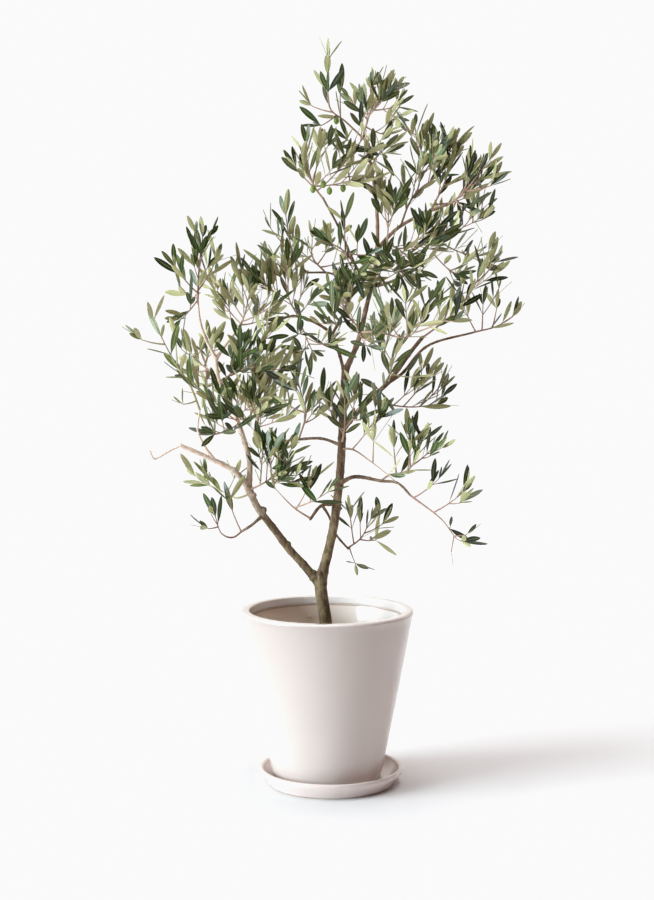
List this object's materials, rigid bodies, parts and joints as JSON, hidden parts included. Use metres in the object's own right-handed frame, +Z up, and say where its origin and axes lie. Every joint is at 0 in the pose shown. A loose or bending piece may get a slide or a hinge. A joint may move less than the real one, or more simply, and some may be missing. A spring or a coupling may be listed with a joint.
{
  "type": "potted olive tree",
  "caption": "Young olive tree with a slender forked trunk and an open leafy crown, growing in a round tapered glazed pot that stands in its saucer.",
  "frame": {"origin": "on the saucer's flat underside, below the centre of the pot", "axes": "+Z up, +X to the right as seen from the front, the front faces -Y"},
  "size_m": [0.733, 0.469, 1.2868],
  "materials": {
    "glaze": "gloss",
    "earth": "matte",
    "bark": "matte",
    "foliage": "satin"
  },
  "bodies": {
    "root": {"saucer": "glaze", "pot": "glaze", "soil": "earth", "trunk": "bark", "leader": "bark", "limb_back_right": "bark", "limb_centre_back": "bark", "limb_centre_low": "bark", "limb_cross": "bark", "limb_inner_left": "bark", "limb_inner_rise": "bark", "limb_left_arch": "bark", "limb_left_crown": "bark", "limb_left_inner": "bark", "limb_left_low": "bark", "limb_left_pruned": "bark", "limb_left_upright": "bark", "limb_right": "bark", "limb_right_long": "bark", "limb_right_low": "bark", "limb_upper_left": "bark", "limb_upper_right": "bark", "stem_left": "bark", "stem_right": "bark", "twig_left_bare": "bark", "spray_back_right": "foliage", "spray_centre_low": "foliage", "spray_centre_pale": "foliage", "spray_cross_end": "foliage", "spray_cross_middle": "foliage", "spray_far_left": "foliage", "spray_front": "foliage", "spray_inner_left": "foliage", "spray_inner_tip": "foliage", "spray_inner_top": "foliage", "spray_leader_front": "foliage", "spray_left_back": "foliage", "spray_left_crown": "foliage", "spray_left_elbow": "foliage", "spray_left_fork": "foliage", "spray_left_front": "foliage", "spray_left_inner": "foliage", "spray_left_low": "foliage", "spray_left_rosette": "foliage", "spray_low_back": "foliage", "spray_olives": "foliage", "spray_right": "foliage", "spray_right_droop": "foliage", "spray_right_long": "foliage", "spray_right_low": "foliage", "spray_right_sag": "foliage", "spray_right_top": "foliage", "spray_right_under": "foliage", "spray_stem_rosette": "foliage", "spray_top_left": "foliage", "spray_top_right": "foliage", "spray_upper_left": "foliage", "spray_upper_low": "foliage", "spray_upper_middle": "foliage", "spray_upper_rise": "foliage"}
  },
  "joints": []
}
